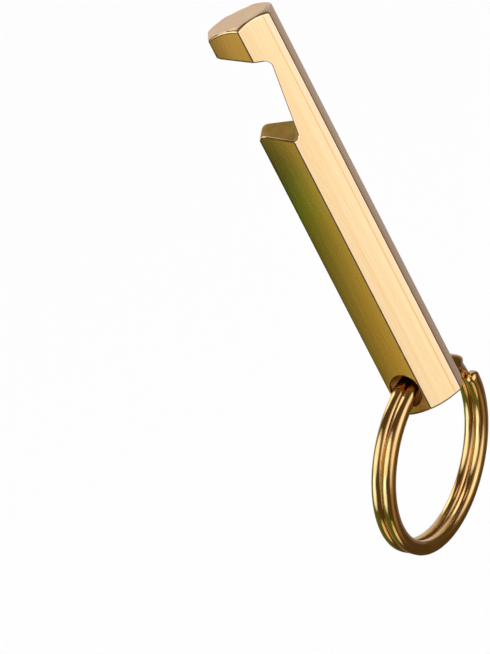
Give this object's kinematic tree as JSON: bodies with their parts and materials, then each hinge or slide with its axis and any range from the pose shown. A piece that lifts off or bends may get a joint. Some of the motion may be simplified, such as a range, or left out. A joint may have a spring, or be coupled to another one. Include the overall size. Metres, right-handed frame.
{
  "type": "keychain bottle opener",
  "caption": "Pocket bottle opener milled from hexagonal brass bar, with a hooked cap slot at one end and a split ring that swings in a cross hole at the other.",
  "frame": {"origin": "on the bar's axis, on the underside of the hook, where the opener bears on top of a bottle cap", "axes": "+Z along the bar towards the head end, which holds the cap slot; +X is the outward normal of the spine, the unbroken flat behind the slot, so the slot opens towards -X"},
  "size_m": [0.017, 0.0228, 0.0712],
  "materials": {
    "brushed_brass": "drawn bar, brushed along its length, with milled marks in the slot and turned marks on the ends",
    "polished_brass": "bright polished wire, slightly darkened between the turns"
  },
  "bodies": {
    "bar": {"opener_bar": "brushed_brass"},
    "ring": {"split_ring": "polished_brass"}
  },
  "joints": [
    {"name": "ring_swing", "type": "hinge", "parent": "bar", "child": "ring", "pos_m": [0, 0, -0.0443], "axis": [0.5, 0.866, 0], "range_deg": [-182.8, 137.2]}
  ]
}
